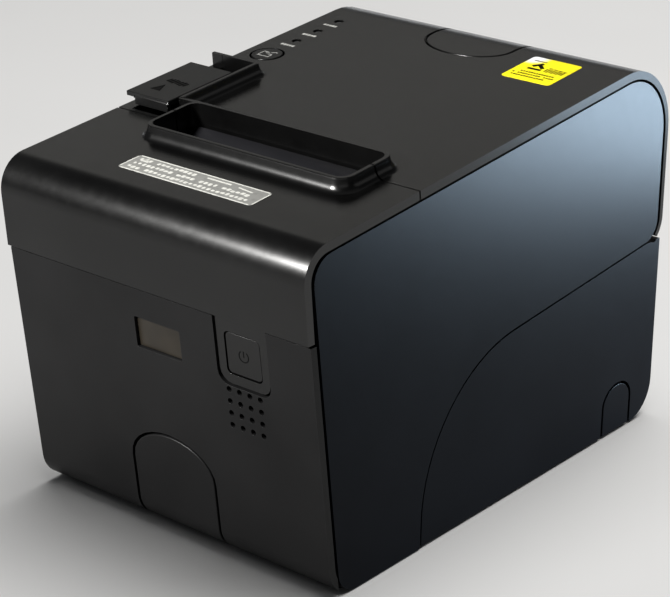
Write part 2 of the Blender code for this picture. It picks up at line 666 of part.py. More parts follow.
def make_lid_frame():
    """Carrier under the lid that holds the platen and the fixed blade."""
    beam = block("lid_frame", (ARM_X[0][0], ARM_X[1][1]), BEAM_Y, BEAM_Z)
    outline = [(-24, 133.0), (-36, 133.0), (-37, 124), (-46.5, 121), (-47.6, 114), (-42, 110.8),
               (-36.5, 111.6), (-24, 126)]
    for i, (low, high) in enumerate(ARM_X):
        join(beam, slab(f"lid_arm_{i}", [outline], low, high, SIDE))
        cut(beam, rod(f"arm_bore_{i}", 2.9, low - 1, high + 1, PLATEN, SIDE, 20))
    paint(beam, DARK_ABS, 0.5)
    guide = slab("paper_guide", [[(-37.0, 127.3), (-47.0, 127.3), (-47.0, 128.6), (-39.4, 133.4),
                                  (-39.4, 129.8), (-37.0, 129.8)]],
                 PAPER_X - 42.5, PAPER_X + 42.5, SIDE)
    paint(guide, DARK_ABS, 0.6)
    blade = block("fixed_blade", (PAPER_X - 41, PAPER_X + 41), (-47.2, -37.4), (125.6, 126.8))
    soften(blade, 0.2, 1, 60)
    paint(blade, STEEL, 0.25, 1.0)


def make_platen():
    hub = moved(SIDE, *PLATEN)
    shaft = rod("platen_shaft", 2.5, -50.5, 56.0, (0, 0), hub, 24)
    paint(shaft, STEEL, 0.25, 1.0)
    rubber = slab("platen_roller", [circle(PLATEN_RADIUS, 36), circle(2.5 + GAP, 24)],
                  PAPER_X - 41, PAPER_X + 41, hub)
    paint(rubber, (0.03, 0.03, 0.035), 0.8)
    for name, low in (("platen_bush_left", -44.6), ("platen_bush_right", 50.5)):
        bush = slab(name, [circle(4.5, 24), circle(2.5 + GAP, 24)], low, low + 3.2, hub)
        paint(bush, PALE_NYLON, 0.5)


def idler_centre():
    """Idler axis, in mesh with both the platen gear and the motor pinion."""
    to_platen = (PLATEN_TEETH + IDLER_TEETH) * GEAR_MODULE / 2
    to_motor = (PINION_TEETH + IDLER_TEETH) * GEAR_MODULE / 2
    dy, dz = PLATEN[0] - MOTOR[0], PLATEN[1] - MOTOR[1]
    span = hypot(dy, dz)
    along = (to_motor ** 2 - to_platen ** 2 + span ** 2) / (2 * span)
    aside = (to_motor ** 2 - along ** 2) ** 0.5
    return (MOTOR[0] + along * dy / span + aside * dz / span,
            MOTOR[1] + along * dz / span - aside * dy / span)


def make_gears():
    idler = idler_centre()
    toward_platen = atan2(PLATEN[1] - idler[1], PLATEN[0] - idler[0])
    toward_motor = atan2(MOTOR[1] - idler[1], MOTOR[0] - idler[0])
    idler_step = 2 * pi / IDLER_TEETH
    slip = ((toward_motor - toward_platen) / idler_step) % 1.0
    pinion_step = 2 * pi / PINION_TEETH
    gears = (("platen_gear", PLATEN, PLATEN_TEETH, toward_platen + pi + pi / PLATEN_TEETH, 2.5),
             ("idler_gear", idler, IDLER_TEETH, toward_platen, AXLE_RADIUS),
             ("motor_pinion", MOTOR, PINION_TEETH,
              toward_motor + pi + pinion_step * (0.5 + slip), 1.25))
    for name, centre, teeth, phase, bore in gears:
        gear = slab(name, [gear_outline(teeth, GEAR_MODULE, phase), circle(bore + GAP, 16)],
                    *GEAR_X, moved(SIDE, *centre))
        paint(gear, PALE_NYLON, 0.5)
    axle = rod("idler_axle", AXLE_RADIUS, GEAR_X[0] - 1.0, FRAME_SIDES[0][1] - 0.1,
               idler, SIDE, 20)
    paint(axle, STEEL, 0.25, 1.0)


# ======================= chassis and print mechanism ===============================
PLATE_X = (63.5, 66.3)
PLATFORM_Z = (56.0, 60.0)
POST_X = ((-20.0, -14.0), (36.0, 42.0))
BOSS_HALF = 4.0


def make_chassis():
    """Inner tub: two side plates, the paper trough and the mechanism's platform."""
    knuckle = arc(HINGE, KNUCKLE_RADIUS, -129.5, 129.5, 16)
    plate = ([(-79, 4.2), (92, 4.2), (100.5, 14)] + knuckle
             + [(100.5, 118), (84, 134), (60, 134), (-30, 126), (-50, 124), (-92, 124),
                (-99, 112), (-97.5, 100), (-86.5, 10)])
    low, high = PLATE_X
    chassis = slab("main_chassis", [plate], low, high, SIDE)
    trough = (arc(ROLL, BAY_RADIUS + 0.3, 195, 345, 24)
              + arc(ROLL, BAY_RADIUS + 2.8, 345, 195, 24))
    parts = [slab("left_plate", [plate], -high, -low, SIDE),
             slab("trough", [trough], -low - 0.5, low + 0.5, SIDE),
             block("platform", (-low - 0.5, low + 0.5), (-78.0, -46.0), PLATFORM_Z),
             block("motor_saddle", (-39.0, -22.0), (MOTOR[0] - 6, MOTOR[0] + 6),
                   (PLATFORM_Z[1] - 1, MOTOR[1] - 17.3))]
    parts += [block(f"post_{i}", x, (-58.0, -48.0), (PLATFORM_Z[1] - 1, 101.5))
              for i, x in enumerate(POST_X)]
    for i, (x, y) in enumerate(SCREW_PLACES):
        inner, outer = sorted((x - BOSS_HALF if x > 0 else x + BOSS_HALF, 64.0 if x > 0 else -64.0))
        parts.append(block(f"boss_{i}", (inner, outer), (y - BOSS_HALF, y + BOSS_HALF), (4.2, 12.5)))
    join(chassis, *parts)
    cut(chassis, *[rod(f"boss_bore_{i}", 1.8, 4, 12, spot, PLAN, 16)
                   for i, spot in enumerate(SCREW_PLACES)])
    for side in (-1, 1):
        span = sorted((side * 63.0, side * 70.0))
        cut(chassis, rod(f"base_bore_{side}", PIN_RADIUS + 0.2, *span, HINGE, SIDE, 16))
        pin_span = sorted((side * 57.6, side * 66.2))
        pin = rod(f"hinge_pin_{'right' if side > 0 else 'left'}", PIN_RADIUS, *pin_span,
                  HINGE, SIDE, 16)
        paint(pin, STEEL, 0.25, 1.0)
    paint(chassis, DARK_ABS, 0.55)


FRAME_Y, FRAME_Z = (-66.0, -36.0), (101.8, 103.3)
FRAME_SIDES = ((-43.5, -42.0), (51.2, 52.7))
HEAD_X = (PAPER_X - 40.0, PAPER_X + 40.0)
HEAD_AXIS = (-50.2, 112.0)


def make_head():
    """Sheet-metal head frame, thermal head, its heat sink and springs."""
    bed = block("head_frame", (FRAME_SIDES[0][0], FRAME_SIDES[1][1]), FRAME_Y, FRAME_Z)
    cheek = [(FRAME_Y[0], 102), (FRAME_Y[1], 102), (FRAME_Y[1], 111), (-46.9, 111), (-46.9, 120),
             (-50, 121.5), (FRAME_Y[0], 121.5)]
    gear_plate = [(-66.0, 101.9), (-80.0, 92.0), (-80.0, 74.0), (-56.0, 74.0), (-40.0, 88.0),
                  (FRAME_Y[1], 101.9), (FRAME_Y[1], 111), (-46.9, 111), (-46.9, 120), (-50, 121.5),
                  (FRAME_Y[0], 121.5)]
    join(bed, slab("frame_side_left", [gear_plate], *FRAME_SIDES[0], SIDE),
         slab("frame_side_right", [cheek], *FRAME_SIDES[1], SIDE),
         block("frame_back", (FRAME_SIDES[0][0] + 0.5, FRAME_SIDES[1][1] - 0.5),
               (FRAME_Y[0], FRAME_Y[0] + 1.5), (102, 120)))
    span = (FRAME_SIDES[0][0] - 1, FRAME_SIDES[0][1] + 1)
    cut(bed, rod("shaft_hole", 3.5, *span, MOTOR, SIDE, 24),
        rod("axle_hole", AXLE_RADIUS + GAP, *span, idler_centre(), SIDE, 20))
    paint(bed, STEEL, 0.35, 1.0)
    head = block("print_head", HEAD_X, (-50.2, -48.5), (104.5, 121.0))
    paint(head, (0.55, 0.50, 0.42), 0.25)
    sink = block("heat_sink", HEAD_X, (-56.5, -50.5), (104.5, 120.0))
    fins = 8
    for i in range(fins):
        x = HEAD_X[0] + (HEAD_X[1] - HEAD_X[0]) * (i + 0.5) / fins
        cut(sink, block(f"fin_gap_{i}", (x - 1.5, x + 1.5), (-58, -53.5), (103, 116)))
    paint(sink, (0.6, 0.6, 0.62), 0.35, 1.0)
    for name, x in (("head_spring_left", -20.5), ("head_spring_right", 29.5)):
        spring = coil(name, 2.2, 0.6, 6.2, 4, place((x, -63.9, 112.0), (1, 0, 0), (0, 0, -1)))
        paint(spring, STEEL, 0.3, 1.0)


def make_feed_motor():
    hub = moved(SIDE, *MOTOR)
    motor = rod("feed_motor", 17.0, -41.0, -21.3, (0, 0), hub, 32)
    flange = slab("motor_flange", [rounded_rect(44, 24, 6)], -41.7, -40.0, hub)
    join(motor, flange)
    paint(motor, STEEL, 0.35, 1.0)
    paint(rod("motor_shaft", 1.25, -50.3, -42.1, (0, 0), hub, 16), STEEL, 0.25, 1.0)


def rack_teeth(root_x, tip_x, centres, module):
    """Points up the toothed edge of a rack."""
    pitch = pi * module
    points = []
    for y in centres:
        points += [(root_x, y - 0.30 * pitch), (tip_x, y - 0.10 * pitch),
                   (tip_x, y + 0.10 * pitch), (root_x, y + 0.30 * pitch)]
    return points


def make_cutter():
    frame = block("cutter_frame", (-38.0, 40.0), (-92.0, -67.5), (106.0, 123.1))
    cut(frame, block("cutter_recess", (-30.0, 32.0), (-96.0, -72.0), (104.0, 118.0)))
    paint(frame, DARK_ABS, 0.5)
    pitch_x = CUTTER_PINION[0] - CUTTER_TEETH * GEAR_MODULE / 2
    centres = [CUTTER_PINION[1] + pi * GEAR_MODULE * k for k in range(-4, 4)]
    left, right = -36.0, 44.4
    outline = ([(left, -91.0), (pitch_x - 1.2, -91.0)]
               + rack_teeth(pitch_x - 1.2, pitch_x + 0.8, centres, GEAR_MODULE)
               + [(pitch_x - 1.2, -62.0), (right, -60.0), (right, -54.3), (PAPER_X, -57.3),
                  (left, -54.3)])
    blade = slab("cutter_blade", [outline], *BLADE_Z, PLAN)
    paint(blade, STEEL, 0.25, 1.0)
    hub = moved(PLAN, *CUTTER_PINION)
    pinion = slab("cutter_pinion", [gear_outline(CUTTER_TEETH, GEAR_MODULE, pi + pi / CUTTER_TEETH)],
                  BLADE_Z[0] - 0.3, BLADE_Z[1] + 0.4, hub)
    join(pinion, rod("pinion_hub", 3.0, 121.9, 124.0, (0, 0), hub, 20))
    paint(pinion, PALE_NYLON, 0.5)
    motor = rod("cutter_motor", 8.0, 98.0, 121.5, (0, 0), hub, 28)
    paint(motor, STEEL, 0.35, 1.0)


# ======================= electronics ================================================
BOARD_X, BOARD_Y, BOARD_Z = (-48.0, 48.0), (-60.0, 99.0), (12.0, 13.6)
PORTS = {                       # x span, height, hollow (width, height), depth
    "dc_jack": ((-42.0, -30.0), 11.5, (7.2, 7.2), 9.5),
    "usb_port": ((-22.0, -10.0), 11.5, (8.6, 7.8), 9.5),
    "lan_port": ((-1.0, 15.0), 13.5, (12.0, 8.6), 11.0),
    "drawer_port": ((25.0, 39.0), 12.5, (10.0, 7.6), 11.0),
}
PORT_Y = (85.0, 100.5)
PANEL_Y = (100.9, 102.1)


def make_electronics():
    board = block("main_board", BOARD_X, BOARD_Y, BOARD_Z)
    tall = [rod(f"capacitor_{i}", 5.0, BOARD_Z[1] - 0.2, 30.0, (x, y), PLAN, 20)
            for i, (x, y) in enumerate(((-36.0, 62.0), (-22.0, 62.0), (-8.0, 62.0)))]
    flat = [block("processor", (2, 22), (20, 40), (13.4, 15.4)),
            block("driver", (-30, -16), (10, 24), (13.4, 15.2)),
            block("head_socket", (-10, 30), (-52, -45), (13.4, 19.0)),
            block("power_coil", (28, 42), (52, 66), (13.4, 22.0))]
    join(board, *tall, *flat)
    paint(board, BOARD_GREEN, 0.5)
    panel = block("io_panel", (-51.0, 51.0), PANEL_Y, (8.6, 40.4))
    base_z = BOARD_Z[1] + GAP
    for name, (span, height, hollow, depth) in PORTS.items():
        middle = (sum(span) / 2, base_z + height / 2)
        port = block(name, span, PORT_Y, (base_z, base_z + height))
        half = [size / 2 for size in hollow]
        cut(port, block(name + "_hollow", (middle[0] - half[0], middle[0] + half[0]),
                        (PORT_Y[1] - depth, PORT_Y[1] + 3),
                        (middle[1] - half[1], middle[1] + half[1])))
        cut(panel, block(name + "_window", (span[0] - 0.4, span[1] + 0.4), (98, 106),
                         (base_z - 0.2, base_z + height + 0.4)))
        colour, metallic = ((0.6, 0.6, 0.6), 1.0) if name in ("usb_port", "lan_port") else \
            ((0.02, 0.02, 0.02), 0.0)
        paint(port, colour, 0.35, metallic)
    paint(panel, (0.35, 0.35, 0.36), 0.4, 1.0)


def make_front_parts():
    cap = slab("power_button", [rounded_rect(POWER_SIZE[0] - 0.1, POWER_SIZE[1] - 0.1, 1.7,
                                             POWER_CENTRE)], -6.5, -POWER_SUNK, FRONT)
    soften(cap, 0.4, 2, 60)
    paint(cap, BLACK_ABS, 0.4)
    x, s = POWER_CENTRE
    switch = block("power_switch", (x - 6, x + 6), (s - 6, s + 6), (-19.0, -9.2), FRONT)
    paint(switch, (0.05, 0.05, 0.05), 0.4)
    paint(rod("buzzer", 9.5, -12.0, -4.6, HOLES_CENTRE, FRONT, 28), (0.02, 0.02, 0.02), 0.4)


# ======================= assembly =====================================================
def hang_on(name, frame, members, under=None):
    """Parent these pieces to an empty on their joint's axis, leaving them in place."""
    axis = bpy.data.objects.new(name, None)
    axis.matrix_world = frame
    pieces.objects.link(axis)
    if under:
        axis.parent = bpy.data.objects[under]
        axis.matrix_parent_inverse = axis.parent.matrix_world.inverted()
    bpy.context.view_layer.update()
    for member in members:
        piece = bpy.data.objects[member]
        piece.parent = axis
        piece.matrix_parent_inverse = frame.inverted()


def parent_moving_pieces():
    hang_on("lid_axis", moved(SIDE, *HINGE),
            ["roll_cover", "lid_rear_insert", "lid_switch_board", "lid_frame", "paper_guide",
             "fixed_blade", "platen_bush_left", "platen_bush_right", "lever_spring"]
            + [f"status_light_{i}" for i in (1, 2, 3)])
    hang_on("lever_axis", moved(TOP, *LEVER_AXIS), ["open_lever"], "lid_axis")
    hang_on("feed_axis", moved(TOP, *FEED_CENTRE), ["feed_button"], "lid_axis")
    hang_on("platen_axis", moved(SIDE, *PLATEN), ["platen_shaft", "platen_roller", "platen_gear"],
            "lid_axis")
    hang_on("power_axis", moved(FRONT, *POWER_CENTRE), ["power_button"])
    hang_on("idler_axis", moved(SIDE, *idler_centre()), ["idler_gear"])
    hang_on("motor_axis", moved(SIDE, *MOTOR), ["motor_pinion", "motor_shaft"])
    hang_on("head_axis", moved(SIDE, *HEAD_AXIS), ["print_head", "heat_sink"])
    hang_on("blade_axis", moved(PLAN, *CUTTER_PINION), ["cutter_blade"])
    hang_on("cutter_axis", moved(PLAN, *CUTTER_PINION), ["cutter_pinion"])


def main():
    clear_scene()
    make_front_cover()
    make_front_panel()
    make_side_panels()
    make_lower_case()
    make_tabs()
    make_feet_and_screws()
    make_lid()
    make_lid_controls()
    make_lever()
    make_lid_frame()
    make_platen()
    make_gears()
    make_chassis()
    make_head()
    make_feed_motor()
    make_cutter()
    make_electronics()
    make_front_parts()
    parent_moving_pieces()


main()
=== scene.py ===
import json
from math import cos, pi, radians, sin

import bmesh
import bpy
from mathutils import Matrix, Vector


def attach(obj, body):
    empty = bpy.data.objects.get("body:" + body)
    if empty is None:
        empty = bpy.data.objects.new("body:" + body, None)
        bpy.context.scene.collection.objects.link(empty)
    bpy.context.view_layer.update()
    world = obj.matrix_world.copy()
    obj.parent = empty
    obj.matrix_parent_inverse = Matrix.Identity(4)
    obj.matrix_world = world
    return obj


# A desktop receipt printer: the finishes of its casing and works, its labels and prints, and a
# plain studio around it. Lengths are in metres, except where a comment says millimetres.
MM = 0.001

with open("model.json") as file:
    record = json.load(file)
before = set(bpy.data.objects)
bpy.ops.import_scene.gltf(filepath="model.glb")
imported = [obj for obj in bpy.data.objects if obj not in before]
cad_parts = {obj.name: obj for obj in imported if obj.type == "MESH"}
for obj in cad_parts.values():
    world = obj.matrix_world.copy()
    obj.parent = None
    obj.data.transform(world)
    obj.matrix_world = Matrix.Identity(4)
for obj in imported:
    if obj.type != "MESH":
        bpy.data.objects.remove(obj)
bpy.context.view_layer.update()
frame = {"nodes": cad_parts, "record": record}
NODES = frame["nodes"]


# ======================= places on the lid and the front face ====================
def joint_axis(name):
    joints = frame["record"]["behaviour"]["joints"]
    axis = next(joint["axis"] for joint in joints if joint["name"] == name)
    return Vector(axis).normalized()


def reach(node, direction):
    """How far a node extends from the origin along a direction."""
    return max(v.co.dot(direction) for v in NODES[node].data.vertices)


def plane(origin, along, normal):
    """Frame with x across the printer, y along the face and z out of it, in millimetres."""
    across = along.cross(normal)
    rotation = Matrix((across, along, normal)).transposed().to_4x4()
    return Matrix.Translation(origin) @ rotation @ Matrix.Scale(MM, 4)


FEED_PROUD = 0.15 * MM    # the feed key stands this far out of the lid
POWER_SUNK = 1.3 * MM     # the power key lies this far behind the front cover's face

TOP_ALONG = joint_axis("lever_push")
TOP_NORMAL = Vector((1, 0, 0)).cross(TOP_ALONG)
top_offset = reach("feed_button", TOP_NORMAL) - FEED_PROUD
LID = plane(Vector((0, 0, top_offset / TOP_NORMAL.z)), TOP_ALONG, TOP_NORMAL)

FACE_NORMAL = -joint_axis("power_press")
FACE_ALONG = FACE_NORMAL.cross(Vector((1, 0, 0)))
face_offset = reach("power_button", FACE_NORMAL) + POWER_SUNK
FACE = plane(Vector((0, face_offset / FACE_NORMAL.y, 0)), FACE_ALONG, FACE_NORMAL)


def local_box(node, place):
    """Low and high corner of a node in one of the planes above, in millimetres."""
    back = place.inverted()
    points = [back @ v.co for v in NODES[node].data.vertices]
    return ([min(p[i] for p in points) for i in range(3)],
            [max(p[i] for p in points) for i in range(3)])


def middle(node, place):
    low, high = local_box(node, place)
    return (low[0] + high[0]) / 2, (low[1] + high[1]) / 2


def top_of(node, place):
    return local_box(node, place)[1][2]


# ======================= node materials ============================================
def new_material(name):
    material = bpy.data.materials.new(name)
    material.use_nodes = True
    tree = material.node_tree
    tree.nodes.clear()
    shader = tree.nodes.new("ShaderNodeBsdfPrincipled")
    output = tree.nodes.new("ShaderNodeOutputMaterial")
    tree.links.new(shader.outputs[0], output.inputs[0])
    return material, tree, shader


def link(tree, source, target):
    tree.links.new(source, target)


def coordinates(tree):
    return tree.nodes.new("ShaderNodeTexCoord").outputs["Object"]


def noise(tree, where, scale, detail=2.0, rough=0.5):
    node = tree.nodes.new("ShaderNodeTexNoise")
    node.inputs["Scale"].default_value = scale
    node.inputs["Detail"].default_value = detail
    node.inputs["Roughness"].default_value = rough
    link(tree, where, node.inputs["Vector"])
    return node.outputs["Fac"]


def span(tree, value, low, high, out_low, out_high):
    node = tree.nodes.new("ShaderNodeMapRange")
    for slot, number in zip(("From Min", "From Max", "To Min", "To Max"),
                            (low, high, out_low, out_high)):
        node.inputs[slot].default_value = number
    link(tree, value, node.inputs["Value"])
    return node.outputs["Result"]


def patches(tree, where, scale, detail, noise_range, out_range=(0, 1), rough=0.5):
    """Noise, with one range of its values stretched to another."""
    return span(tree, noise(tree, where, scale, detail, rough), *noise_range, *out_range)


def scaled(colour, factor, lift=0.0):
    return tuple(c * factor + lift for c in colour)


def blend_colour(tree, factor, first, second):
    node = tree.nodes.new("ShaderNodeMix")
    node.data_type = "RGBA"
    link(tree, factor, node.inputs["Factor"])
    for slot, colour in ((6, first), (7, second)):
        if isinstance(colour, tuple):
            node.inputs[slot].default_value = (*colour, 1.0)
        else:
            link(tree, colour, node.inputs[slot])
    return node.outputs[2]


def combine_math(tree, operation, first, second):
    node = tree.nodes.new("ShaderNodeMath")
    node.operation = operation
    for slot, value in enumerate((first, second)):
        if isinstance(value, (int, float)):
            node.inputs[slot].default_value = value
        else:
            link(tree, value, node.inputs[slot])
    return node.outputs[0]


def bump(tree, height, strength, distance, below=None):
    node = tree.nodes.new("ShaderNodeBump")
    node.inputs["Strength"].default_value = strength
    node.inputs["Distance"].default_value = distance
    link(tree, height, node.inputs["Height"])
    if below is not None:
        link(tree, below, node.inputs["Normal"])
    return node.outputs["Normal"]


def edge_mask(tree, radius):
    """White on convex edges, where handling polishes the surface."""
    bevel = tree.nodes.new("ShaderNodeBevel")
    bevel.samples = 4
    bevel.inputs["Radius"].default_value = radius
    geometry = tree.nodes.new("ShaderNodeNewGeometry")
    dot = tree.nodes.new("ShaderNodeVectorMath")
    dot.operation = "DOT_PRODUCT"
    link(tree, bevel.outputs[0], dot.inputs[0])
    link(tree, geometry.outputs["Normal"], dot.inputs[1])
    on_flat, on_edge = 0.995, 0.90
    return span(tree, dot.outputs["Value"], on_flat, on_edge, 0.0, 1.0)


def moulded_plastic(name, colour, roughness, grain=0.35, grain_mm=0.32, tint=1.2, specular=0.15,
                    worn=0.4, dust=0.12):
    """Spark-eroded moulded plastic: fine grain, faint mottling, polished edges, a little dust."""
    material, tree, shader = new_material(name)
    where = coordinates(tree)
    mottled = blend_colour(tree, patches(tree, where, 22, 3, (0.35, 0.65)), colour,
                           scaled(colour, tint, 0.0008))
    specks = patches(tree, where, 900, 2, (0.70, 0.78), (0, dust), 0.7)
    dusty = blend_colour(tree, specks, mottled, scaled(colour, 2, 0.02))
    edges = edge_mask(tree, 0.5 * MM)
    wear = patches(tree, where, 120, 3, (0.35, 0.65), (0.2 * worn, worn))
    edges = combine_math(tree, "MULTIPLY", edges, wear)
    link(tree, blend_colour(tree, edges, dusty, scaled(colour, 2.2, 0.006)),
         shader.inputs["Base Color"])
    swing, polish = 0.015, 0.12
    smear = patches(tree, where, 260, 4, (0.3, 0.7), (roughness - swing, roughness + swing),
                    0.6)
    polished = combine_math(tree, "MULTIPLY", edges, polish)
    link(tree, combine_math(tree, "SUBTRACT", smear, polished), shader.inputs["Roughness"])
    fine = noise(tree, where, 1.0 / (grain_mm * MM), 3, 0.6)
    coarse = noise(tree, where, 0.35 / (grain_mm * MM), 2, 0.5)
    lower = bump(tree, coarse, grain * 0.12, 0.05 * MM)
    link(tree, bump(tree, fine, grain, 0.03 * MM, lower), shader.inputs["Normal"])
    shader.inputs["Specular IOR Level"].default_value = specular
    return material


def plain_metal(name, colour, roughness, brushed=(1, 1, 30)):
    """Sheet or bar metal with drawing marks along one axis and faint stains."""
    material, tree, shader = new_material(name)
    where = coordinates(tree)
    stretch = tree.nodes.new("ShaderNodeMapping")
    stretch.inputs["Scale"].default_value = brushed
    link(tree, where, stretch.inputs["Vector"])
    lines = noise(tree, stretch.outputs["Vector"], 120, 4, 0.6)
    stain = patches(tree, where, 60, 3, (0.4, 0.7))
    link(tree, blend_colour(tree, stain, colour, scaled(colour, 0.72)),
         shader.inputs["Base Color"])
    link(tree, span(tree, lines, 0.3, 0.7, roughness - 0.08, roughness + 0.12),
         shader.inputs["Roughness"])
    link(tree, bump(tree, lines, 0.15, 0.02 * MM), shader.inputs["Normal"])
    shader.inputs["Metallic"].default_value = 1.0
    return material


def rubber(name, colour, roughness):
    """Matt rubber with paler dusty patches."""
    material, tree, shader = new_material(name)
    where = coordinates(tree)
    dusty = patches(tree, where, 300, 4, (0.4, 0.7))
    link(tree, blend_colour(tree, dusty, colour, scaled(colour, 1.8, 0.01)),
         shader.inputs["Base Color"])
    link(tree, patches(tree, where, 80, 2, (0.3, 0.7), (roughness - 0.08, roughness + 0.05)),
         shader.inputs["Roughness"])
    link(tree, bump(tree, noise(tree, where, 2500, 2), 0.25, 0.03 * MM), shader.inputs["Normal"])
    shader.inputs["Specular IOR Level"].default_value = 0.25
    return material


def circuit_board(name):
    """Green solder mask with fine copper runs under it."""
    material, tree, shader = new_material(name)
    where = coordinates(tree)
    cells = tree.nodes.new("ShaderNodeTexBrick")
    cells.offset = 0.37
    for slot, number in (("Scale", 160), ("Mortar Size", 0.06), ("Brick Width", 1.7),
                         ("Row Height", 0.32)):
        cells.inputs[slot].default_value = number
    link(tree, where, cells.inputs["Vector"])
    runs = span(tree, cells.outputs["Fac"], 0.2, 0.8, 0, 1)
    areas = patches(tree, where, 70, 1, (0.48, 0.52))
    mask = combine_math(tree, "MULTIPLY", runs, areas)
    link(tree, blend_colour(tree, mask, (0.008, 0.055, 0.022), (0.02, 0.13, 0.05)),
         shader.inputs["Base Color"])
    link(tree, patches(tree, where, 200, 2, (0.3, 0.7), (0.28, 0.42)),
         shader.inputs["Roughness"])
    link(tree, bump(tree, mask, 0.3, 0.03 * MM), shader.inputs["Normal"])
    return material


def printed_film(name, colour, roughness, wrinkle, pale_patch=None, metallic=0.0):
    """Thin label film, slightly wavy, with scuffs and an optional pale grey patch (place, size).
    """
    material, tree, shader = new_material(name)
    where = coordinates(tree)
    scuff = patches(tree, where, 420, 4, (0.5, 0.72), (0, 0.7), 0.7)
    body = blend_colour(tree, scuff, colour, scaled(colour, 0.62))
    if pale_patch:
        centre, size = pale_patch
        away = tree.nodes.new("ShaderNodeVectorMath")
        away.operation = "DISTANCE"
        link(tree, where, away.inputs[0])
        away.inputs[1].default_value = centre
        near = span(tree, away.outputs["Value"], size, size * 0.55, 0, 1)
        body = blend_colour(tree, near, body, (0.86, 0.87, 0.88))
    link(tree, body, shader.inputs["Base Color"])
    link(tree, patches(tree, where, 150, 3, (0.3, 0.7), (roughness - 0.1, roughness + 0.1)),
         shader.inputs["Roughness"])
    link(tree, bump(tree, noise(tree, where, 260, 3), wrinkle, 0.15 * MM), shader.inputs["Normal"])
    shader.inputs["Metallic"].default_value = metallic
    return material


def ink(name, colour, roughness=0.5, specular=0.4):
    """Screen-printed ink, thin in places."""
    material, tree, shader = new_material(name)
    where = coordinates(tree)
    thin = patches(tree, where, 900, 3, (0.45, 0.75), (0, 0.7))
    link(tree, blend_colour(tree, thin, colour, scaled(colour, 0.55, 0.002)),
         shader.inputs["Base Color"])
    link(tree, patches(tree, where, 400, 2, (0.3, 0.7), (roughness - 0.08, roughness + 0.08)),
         shader.inputs["Roughness"])
    link(tree, bump(tree, noise(tree, where, 1500, 2), 0.1, 0.02 * MM), shader.inputs["Normal"])
    shader.inputs["Specular IOR Level"].default_value = specular
    return material


def smoked_lens(name, colour, roughness, coat):
    """Dark clear plastic that lets next to no light back out."""
    material, tree, shader = new_material(name)
    where = coordinates(tree)
    cloudy = patches(tree, where, 90, 2, (0.4, 0.6))
    link(tree, blend_colour(tree, cloudy, colour, scaled(colour, 1.4)),
         shader.inputs["Base Color"])
    link(tree, patches(tree, where, 260, 3, (0.4, 0.7), (roughness, roughness + 0.08)),
         shader.inputs["Roughness"])
    link(tree, bump(tree, noise(tree, where, 500, 1), 0.04, 0.03 * MM), shader.inputs["Normal"])
    shader.inputs["Coat Weight"].default_value = coat
    shader.inputs["Specular IOR Level"].default_value = 0.3
    return material


MATERIALS = {
    "shell": moulded_plastic("shell_abs", (0.0003, 0.0003, 0.0003), 0.25, grain=0.36,
                             specular=0.36),
    "front": moulded_plastic("front_abs", (0.0026, 0.0026, 0.0027), 0.40, grain=0.4,
                             specular=0.13),
    "cheek": moulded_plastic("cheek_abs", (0.0009, 0.0011, 0.0017), 0.34, grain=0.55,
                             specular=0.03),
    "key": moulded_plastic("key_abs", (0.001, 0.001, 0.001), 0.34, grain=0.25, worn=0.6,
                           specular=0.3),
    "inner": moulded_plastic("inner_abs", (0.02, 0.02, 0.021), 0.55, grain=0.3),
    "guide": moulded_plastic("guide_abs", (0.004, 0.004, 0.0048), 0.5, grain=0.6, grain_mm=0.5,
                             specular=0.1),
    "nylon": moulded_plastic("gear_nylon", (0.62, 0.61, 0.55), 0.45, grain=0.1, worn=0.2,
                             tint=0.9, dust=0.05),
    "socket": moulded_plastic("socket_plastic", (0.014, 0.014, 0.014), 0.38, grain=0.15),
    "ceramic": moulded_plastic("head_ceramic", (0.42, 0.36, 0.27), 0.22, grain=0.05, worn=0.1,
                               dust=0.05),
    "steel": plain_metal("bright_steel", (0.56, 0.56, 0.57), 0.28),
    "frame_steel": plain_metal("zinc_steel", (0.60, 0.60, 0.58), 0.36, (30, 1, 1)),
    "aluminium": plain_metal("extruded_aluminium", (0.72, 0.72, 0.73), 0.34, (1, 30, 1)),
    "panel_steel": plain_metal("panel_steel", (0.42, 0.42, 0.43), 0.38, (1, 30, 30)),
    "rubber": rubber("foot_rubber", (0.018, 0.018, 0.018), 0.85),
    "roller": rubber("roller_rubber", (0.028, 0.028, 0.032), 0.7),
    "board": circuit_board("board_laminate"),
    "window": smoked_lens("smoked_window", (0.006, 0.0048, 0.0032), 0.34, 0.0),
    "lens": smoked_lens("lamp_lens", (0.006, 0.006, 0.007), 0.15, 0.4),
    "silver_film": printed_film("silver_film", (0.15, 0.15, 0.142), 0.45, 0.6, metallic=0.2),
    "silver_mark": ink("silver_mark", (0.36, 0.36, 0.335), 0.45),
    "white_ink": ink("white_ink", (0.42, 0.42, 0.40), 0.5),
    "grey_ink": ink("grey_ink", (0.24, 0.24, 0.23), 0.5),
    "black_ink": ink("black_ink", (0.001, 0.001, 0.001), 0.55, 0.05),
}

